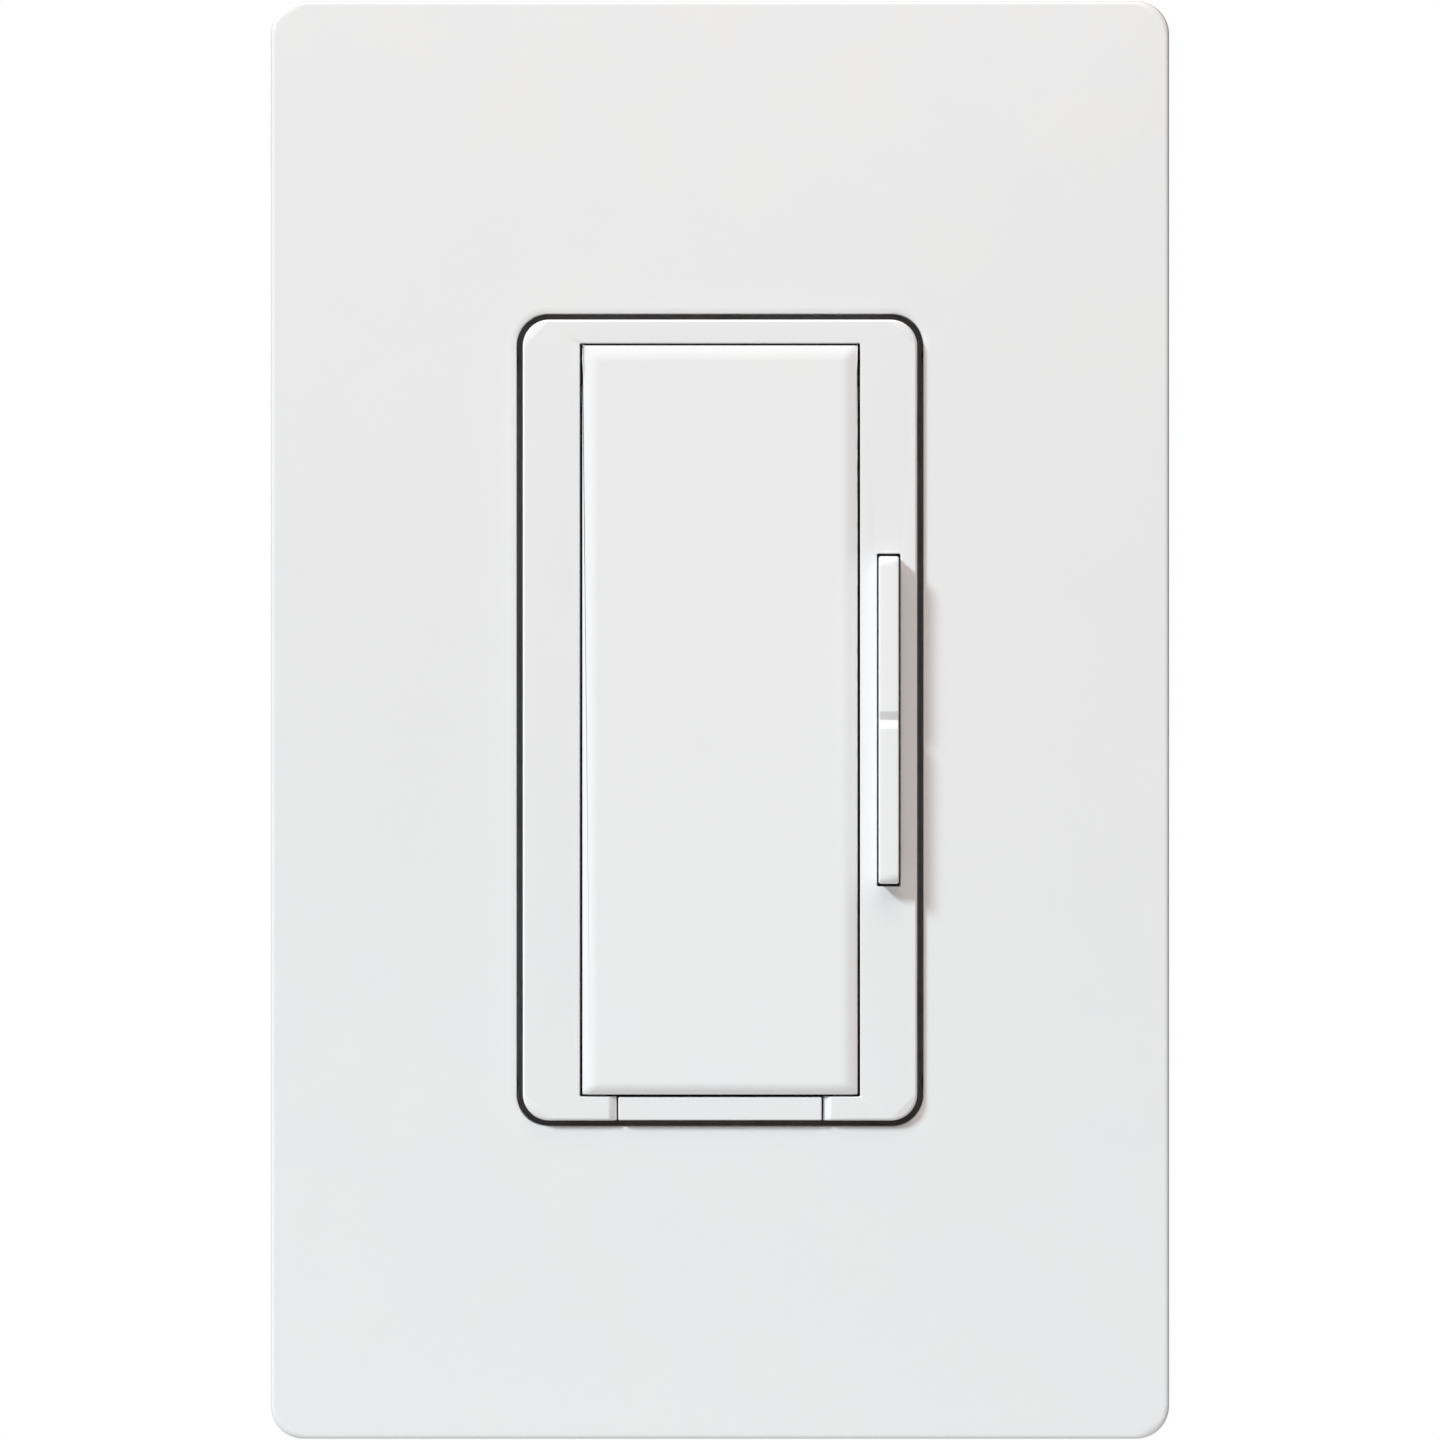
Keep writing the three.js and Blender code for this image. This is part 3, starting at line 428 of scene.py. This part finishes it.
ROCKER = {"x": (13.155, 14.785), "half": 13.55, "front": 10.15, "back": 3.0, "edge": 0.16}
ROCKER_NOSE = {"length": 0.85, "drop": 0.65, "steps": 8}
ROCKER_NOTCH = [(0.78, 0), (0.66, 0.02), (0.06, 0.37), (0, 0.39)]  # height from the middle, depth
ROCKER_PIVOT = {"x": (12.1, 15.7), "out": 4.2, "radius": 0.8, "tip": 0.65, "chamfer": 0.15}
ROCKER_FOOT = {"up": 9, "half": 0.8, "half_width": 0.715}
ROCKER_FOOT_PROFILE = [(-0.25, 0.6), (-0.13, 0.76), (0, 0.8), (3.5, 0.8)]  # out from the wall, half height


def rocker_outline():
    """The rocker from its side, as (up the wall, out of the wall) in millimetres, back edge first."""
    half, front, back = ROCKER["half"], ROCKER["front"], ROCKER["back"]
    corner = [(half, front - ROCKER_NOSE["drop"]), (half, front), (half - ROCKER_NOSE["length"], front)]
    nose = []
    for step in range(ROCKER_NOSE["steps"] + 1):
        t = step / ROCKER_NOSE["steps"]
        weights = ((1 - t) ** 2, 2 * t * (1 - t), t * t)
        nose.append(tuple(sum(w * p[k] for w, p in zip(weights, corner)) for k in (0, 1)))
    upper = nose + [(up, front - depth) for up, depth in ROCKER_NOTCH]
    lower = [(-up, out) for up, out in reversed(upper[:-1])]
    return [(-half, back), (half, back)] + upper + lower


def inset(outline, amount):
    """The outline moved inwards by an amount at every point."""
    moved = []
    for i, (up, out) in enumerate(outline):
        before, after = outline[i - 1], outline[(i + 1) % len(outline)]
        across = Vector((after[1] - before[1], before[0] - after[0])).normalized()
        moved.append((up - across.x * amount, out - across.y * amount))
    return moved


def front_rocker():
    """The rocker: a thin blade on edge with rounded sides, a pivot pin and two feet."""
    (left, right), edge = ROCKER["x"], ROCKER["edge"]
    bend = edge * 0.29  # how far the middle of the rounding lies from each of the two faces it joins
    outline = rocker_outline()
    stations = [(left, edge), (left + bend, bend), (left + edge, 0)]
    stations += [(right - edge, 0), (right - bend, bend), (right, edge)]
    shape = bmesh.new()
    skin(
        shape,
        [[MM * Vector((x, -out, up)) for up, out in inset(outline, amount)] for x, amount in stations],
    )

    start, end = ROCKER_PIVOT["x"]
    radius, tip, chamfer = ROCKER_PIVOT["radius"], ROCKER_PIVOT["tip"], ROCKER_PIVOT["chamfer"]
    length = end - start
    profile = [(tip, 0), (radius, chamfer), (radius, length - chamfer), (tip, length)]
    base = MM * Vector((start, -ROCKER_PIVOT["out"], 0))
    turned(shape, [(MM * across, MM * along) for across, along in profile], base, Vector((1, 0, 0)), 24)

    middle = (left + right) / 2
    corners = ((-1, -1), (1, -1), (1, 1), (-1, 1))
    for side in (-1, 1):
        up = side * ROCKER_FOOT["up"]
        rings = []
        for out, reach in ROCKER_FOOT_PROFILE:
            wide = ROCKER_FOOT["half_width"] - (ROCKER_FOOT["half"] - reach)
            rings.append([MM * Vector((middle + a * wide, -out, up + b * reach)) for a, b in corners])
        skin(shape, rings)
    return piece("rocker_blade", mesh_from("rocker_blade", shape, 35), "dimming_rocker")


# ---- Screws -----------------------------------------------------------------------------------------

def carved(mesh, name, cutters):
    """The mesh with the cutters, each a closed bmesh, taken out of it."""
    scene = bpy.context.scene
    body = bpy.data.objects.new(name, mesh)
    scene.collection.objects.link(body)
    tools = []
    for n, cutter in enumerate(cutters):
        tool = bpy.data.objects.new(f"{name}_cutter_{n}", mesh_from(f"{name}_cutter_{n}", cutter))
        scene.collection.objects.link(tool)
        modifier = body.modifiers.new("cut", "BOOLEAN")
        modifier.operation = "DIFFERENCE"
        modifier.solver = "EXACT"
        modifier.object = tool
        tools.append(tool)
    bpy.context.view_layer.update()
    result = bpy.data.meshes.new_from_object(body.evaluated_get(bpy.context.evaluated_depsgraph_get()))
    for obj in (body, *tools):
        bpy.data.objects.remove(obj)
    return result


def box_shape(middle, across, along, axis, size):
    """A closed box as a bmesh. size is its extent along each of the three directions."""
    shape = bmesh.new()
    corners = [(-1, -1), (1, -1), (1, 1), (-1, 1)]
    rings = [
        [
            middle + sx * size[0] / 2 * across + sy * size[1] / 2 * along + end * size[2] / 2 * axis
            for sx, sy in corners
        ]
        for end in (-1, 1)
    ]
    skin(shape, rings)
    return shape


HEAD_PROFILE = [  # share of the head's radius, share of its height
    (0.94, -0.001), (1, 0.08), (1, 0.5), (0.965, 0.68), (0.88, 0.84), (0.72, 0.945), (0.45, 0.99), (0.15, 1),
]
NECK = (0.6, -0.25)  # under the head: share of the shank's radius, share of the head's height
SLOT_WIDTH = 0.26  # share of the head's radius
THREAD_DEPTH = 0.2  # share of the pitch
THREAD_SIDES = 20
ROWS_PER_TURN = 6


def screw_head(node, seat, facing, across, along, radius, height, shank, slot_turn, cross):
    """A domed head on its seat, with one slot cut into it or two that cross."""
    shape = bmesh.new()
    profile = [(shank * NECK[0], NECK[1] * height)]
    profile += [(share * radius, up * height) for share, up in HEAD_PROFILE]
    turned(shape, profile, seat, facing, 40)
    top = seat + facing * height
    slot_along = math.cos(slot_turn) * across + math.sin(slot_turn) * along
    slot_across = facing.cross(slot_along)
    wide = radius * SLOT_WIDTH
    cutters = [box_shape(top, slot_along, slot_across, facing, (radius * 3, wide, height * 1.1))]
    if cross:
        size = (radius * 1.15, wide, height * 1.3)
        cutters.append(box_shape(top, slot_across, slot_along, facing, size))
    return carved(mesh_from(f"{node}_head", shape), f"{node}_head", cutters)


def screw_thread(node, seat, facing, across, along, neck, length, shank, pitch, point):
    """A shank with a helical ridge that fades in under the head and runs out at a tapered point."""
    depth = pitch * THREAD_DEPTH
    count = max(8, round(length / pitch * ROWS_PER_TURN))
    rings = [circle(seat + facing * neck, across, along, shank, THREAD_SIDES)]
    for row in range(count + 1):
        down = length * row / count
        left = length - down
        fade = min(1, down / pitch, left / (pitch * 0.5) + 0.3)
        taper = 1 - 0.35 * max(0, 1 - left / (point * MM))
        ring = []
        for i in range(THREAD_SIDES):
            turn = i / THREAD_SIDES
            ridge = depth * abs(2 * ((down / pitch - turn) % 1) - 1)
            radius = (shank - ridge * fade) * taper
            angle = 2 * math.pi * turn
            ring.append(
                seat - facing * down + radius * (math.cos(angle) * across + math.sin(angle) * along)
            )
        rings.append(ring)
    shape = bmesh.new()
    skin(shape, rings)
    return mesh_from(f"{node}_thread", shape)


def machine_screw(node, facing, head_height, shank, pitch=0.8 * MM, slot_turn=0.0, cross=False, point=0.6):
    """A screw in the place of a CAD screw whose head faces facing. point is the length of its taper in
    millimetres."""
    low, high = map(Vector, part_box(node))
    facing = Vector(facing)
    extent = high - low
    long = abs(extent.dot(facing))
    radius = max(abs(extent[k]) for k in range(3) if abs(facing[k]) < 0.5) / 2
    seat = (low + high) / 2 + facing * (long / 2 - head_height)
    across = facing.orthogonal().normalized()
    along = facing.cross(across)
    whole = bmesh.new()
    whole.from_mesh(
        screw_head(node, seat, facing, across, along, radius, head_height, shank, slot_turn, cross)
    )
    bmesh.ops.dissolve_limit(
        whole,
        angle_limit=math.radians(0.5),
        verts=whole.verts,
        edges=whole.edges,
        use_dissolve_boundaries=False,
    )
    eased(whole, 0.06 * MM, 2, (40, 180))
    neck = 0.2 * head_height
    length = long - head_height
    whole.from_mesh(screw_thread(node, seat, facing, across, along, neck, length, shank, pitch, point))
    return piece(f"{node}_turned", mesh_from(f"{node}_turned", whole, 38), node)


# ---- Spring and choke -------------------------------------------------------------------------------


def return_spring():
    """The coil behind the paddle's foot, with flat end turns."""
    radius, wire, turns, flat, foot, top, up = 2.2, 0.45, 5.5, 0.75, 2.95, 7.05, -24
    low, high = foot + wire / 2, top - wire / 2
    per_turn = 36
    path = []
    for i in range(int(turns * per_turn) + 1):
        turn = i / per_turn
        share = min(max((turn - flat) / (turns - 2 * flat), 0), 1)
        out = low + (high - low) * share
        angle = 2 * math.pi * turn
        path.append(MM * Vector((radius * math.cos(angle), -out, up + radius * math.sin(angle))))
    shape = bmesh.new()
    tube(shape, path, wire / 2 * MM, 12)
    obj = piece("return_spring_coil", mesh_from("return_spring_coil", shape), "paddle_return_spring")
    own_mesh(obj)


CHOKE = MM * Vector((-2.5, 16.4, -6))  # the middle of the choke's ring, a little in front of its core


def choke():
    """A powder-coated ring core with rounded edges, and a winding of separate turns of wire."""
    inner, outer, back, front, edge = 4.6, 7.9, -6.6, -0.8, 0.7
    bend_steps = 4
    section = []
    for cx, cy, start in (
        (outer - edge, front - edge, 0), (inner + edge, front - edge, 90),
        (inner + edge, back + edge, 180), (outer - edge, back + edge, 270),
    ):
        for step in range(bend_steps + 1):
            angle = math.radians(start + step * 90 / bend_steps)
            section.append((cx + edge * math.cos(angle), cy + edge * math.sin(angle)))
    shape = bmesh.new()
    sides = 72
    rows = []
    for i in range(sides):
        turn = 2 * math.pi * i / sides
        rows.append(
            [CHOKE + MM * Vector((r * math.cos(turn), -out, r * math.sin(turn))) for r, out in section]
        )
    skin(shape, rows + [rows[0]], ring_ends=False)
    bmesh.ops.remove_doubles(shape, verts=shape.verts, dist=WELD)
    piece("choke_ring", mesh_from("choke_ring", shape), "choke_core")

    wire_radius, clear, lead = 0.4, 0.52, 7.8
    bulge, bulge_limit = 0.62, 1.16  # these make each turn of the wire squarer than a circle
    half_height = (front - back) / 2 + clear
    half_depth = (outer - inner) / 2 + clear
    mid_out, mid_radius = (front + back) / 2, (outer + inner) / 2
    turns, start, sweep = 21, math.radians(28), math.radians(304)
    path = []
    per_turn = 24
    for i in range(turns * per_turn + 1):
        around_ring = start + sweep * i / (turns * per_turn)
        loop = 2 * math.pi * i / per_turn
        c, s = math.cos(loop), math.sin(loop)
        stretch = min(1 / max(abs(c), abs(s)) ** bulge, bulge_limit)
        r = mid_radius + half_depth * c * stretch
        out = mid_out + half_height * s * stretch
        r = min(max(r, mid_radius - half_depth), mid_radius + half_depth)
        out = min(max(out, mid_out - half_height), mid_out + half_height)
        path.append(CHOKE + MM * Vector((r * math.cos(around_ring), -out, r * math.sin(around_ring))))
    first, last = (Vector((end.x, CHOKE.y + MM * lead, end.z)) for end in (path[0], path[-1]))
    wound = bmesh.new()
    tube(wound, [first, *path, last], wire_radius * MM, 10)
    piece("choke_wire", mesh_from("choke_wire", wound), "choke_winding")


# ---- Which node is made how -------------------------------------------------------------------------

IN, OUT = (0, 1, 0), (0, -1, 0)
PADDLE_SOFT_FRONT = (0.33 * MM, 8.45 * MM)  # how wide the rounding is, and where it starts from the wall
ROUNDINGS = {"faceplate": 0.05, "bezel": 0.1, "service_slider": 0.1, "rear_housing": 0.15, "yoke": 0.12}
OTHER_ROUNDING = 0.08

front_rocker()
finer("tap_paddle", 0.06 * MM, soft_front=PADDLE_SOFT_FRONT)
return_spring()
choke()
for where, turn in (("top", 0.35), ("bottom", 1.2)):
    machine_screw(f"box_screw_{where}", OUT, 2.2 * MM, 1.65 * MM, slot_turn=turn, cross=True)
    machine_screw(f"plate_screw_{where}", OUT, 1.6 * MM, 1.65 * MM, slot_turn=turn + 0.6)
machine_screw("triac_screw", IN, 1.7 * MM, 1.4 * MM, 0.5 * MM, 0.8, cross=True)
machine_screw("ground_screw", (0, 0, -1), 1.9 * MM, 1.55 * MM, 0.8 * MM, 0.5, cross=True)
for where, turn in (("bottom_left", 0.2), ("bottom_right", 0.9), ("top_left", 1.3), ("top_right", 2.2)):
    machine_screw(f"housing_screw_{where}", IN, 1.6 * MM, 1.12 * MM, 0.9 * MM, turn, cross=True, point=2.0)
for name, side, turn in (("line", -1, 0.3), ("load", -1, 1.1), ("companion", 1, 0.7)):
    machine_screw(f"{name}_terminal_screw", (side, 0, 0), 1.8 * MM, 1.55 * MM, 0.8 * MM, turn, cross=True)

made = {node for obj in bpy.data.objects for node in obj.get("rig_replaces", [])}
for name in sorted(set(frame["nodes"]) - made):
    finer(name, ROUNDINGS.get(name, OTHER_ROUNDING) * MM)


# ---- Stage ------------------------------------------------------------------------------------------

PLATE_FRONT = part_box("faceplate")[0].y
VIEW_SIDE = 119.52 * MM  # what the square picture takes in, at the faceplate's front
LENS = 200
SENSOR = 36


def camera():
    """A long lens straight in front of the faceplate."""
    data = bpy.data.cameras.new("camera")
    data.lens = LENS
    data.sensor_width = SENSOR
    data.clip_start = 0.01
    obj = bpy.data.objects.new("camera", data)
    obj.location = (0, PLATE_FRONT - VIEW_SIDE * LENS / SENSOR, 0)
    obj.rotation_euler = (math.pi / 2, 0, 0)
    bpy.context.scene.collection.objects.link(obj)
    bpy.context.scene.camera = obj


KEY_FROM = Vector((-0.628, -0.523, 0.576))  # the direction of the key light, seen from the dimmer
KEY_AWAY = 4.0
KEY_SIZE = 0.8
KEY_POWER = 140.0
KEY_COLOUR = (0.812, 0.934, 1.0)
TOP_FROM = Vector((0, -0.55, 0.83))
TOP_AWAY = 0.45
TOP_SIZE = 0.35
TOP_POWER = 0.95
TOP_COLOUR = (1.0, 0.86, 0.8)
ROOM_LIGHT = (0.21, 0.182, 0.168)


def area_light(name, direction, away, size, power, colour):
    """A round light in that direction from the dimmer, at that distance, that faces it."""
    data = bpy.data.lights.new(name, "AREA")
    data.shape = "DISK"
    data.size = size
    data.energy = power
    data.color = colour
    obj = bpy.data.objects.new(name, data)
    obj.location = direction.normalized() * away
    obj.rotation_euler = direction.to_track_quat("Z", "Y").to_euler()
    bpy.context.scene.collection.objects.link(obj)


def room():
    """A plain white room: soft light from all round, and pure white where the camera sees past the floor."""
    world = bpy.data.worlds.new("room")
    bpy.context.scene.world = world
    world.use_nodes = True
    nodes = world.node_tree.nodes
    link = world.node_tree.links.new
    soft = nodes["Background"]
    soft.inputs["Color"].default_value = (*ROOM_LIGHT, 1)
    white = nodes.new("ShaderNodeBackground")
    white.inputs["Color"].default_value = (1, 1, 1, 1)
    path = nodes.new("ShaderNodeLightPath")
    mix = nodes.new("ShaderNodeMixShader")
    link(path.outputs["Is Camera Ray"], mix.inputs["Fac"])
    link(soft.outputs["Background"], mix.inputs[1])
    link(white.outputs["Background"], mix.inputs[2])
    link(mix.outputs["Shader"], nodes["World Output"].inputs["Surface"])


FLOOR_RADIUS = 0.4
FLOOR_HEIGHT = -0.1
FLOOR_FADE = (0.12, 0.39)  # how far from its middle the floor starts to fade, and where it is gone


def floor():
    """A round pale floor under the dimmer that fades out towards its rim."""
    shape = bmesh.new()
    bmesh.ops.create_circle(shape, cap_ends=True, segments=96, radius=FLOOR_RADIUS)
    obj = bpy.data.objects.new("floor", mesh_from("floor", shape))
    obj.location.z = FLOOR_HEIGHT
    bpy.context.scene.collection.objects.link(obj)
    look = Look("pale_floor", 0.8)
    look.colour(look.noise(0.05, 3), (0.78, 0.78, 0.78), (0.8, 0.8, 0.8))
    length = look.nodes.new("ShaderNodeVectorMath")
    length.operation = "LENGTH"
    look.link(look.coordinates, length.inputs[0])
    fade = look.nodes.new("ShaderNodeMapRange")
    fade.interpolation_type = "SMOOTHSTEP"
    fade.inputs["From Min"].default_value, fade.inputs["From Max"].default_value = FLOOR_FADE
    fade.inputs["To Min"].default_value = 1.0
    fade.inputs["To Max"].default_value = 0.0
    look.link(length.outputs["Value"], fade.inputs["Value"])
    look.link(fade.outputs["Result"], look.shader.inputs["Alpha"])
    obj.data.materials.append(look.material)


camera()
room()
floor()
area_light("key", KEY_FROM, KEY_AWAY, KEY_SIZE, KEY_POWER, KEY_COLOUR)
area_light("top", TOP_FROM, TOP_AWAY, TOP_SIZE, TOP_POWER, TOP_COLOUR)
bpy.context.scene.view_settings.view_transform = "Standard"
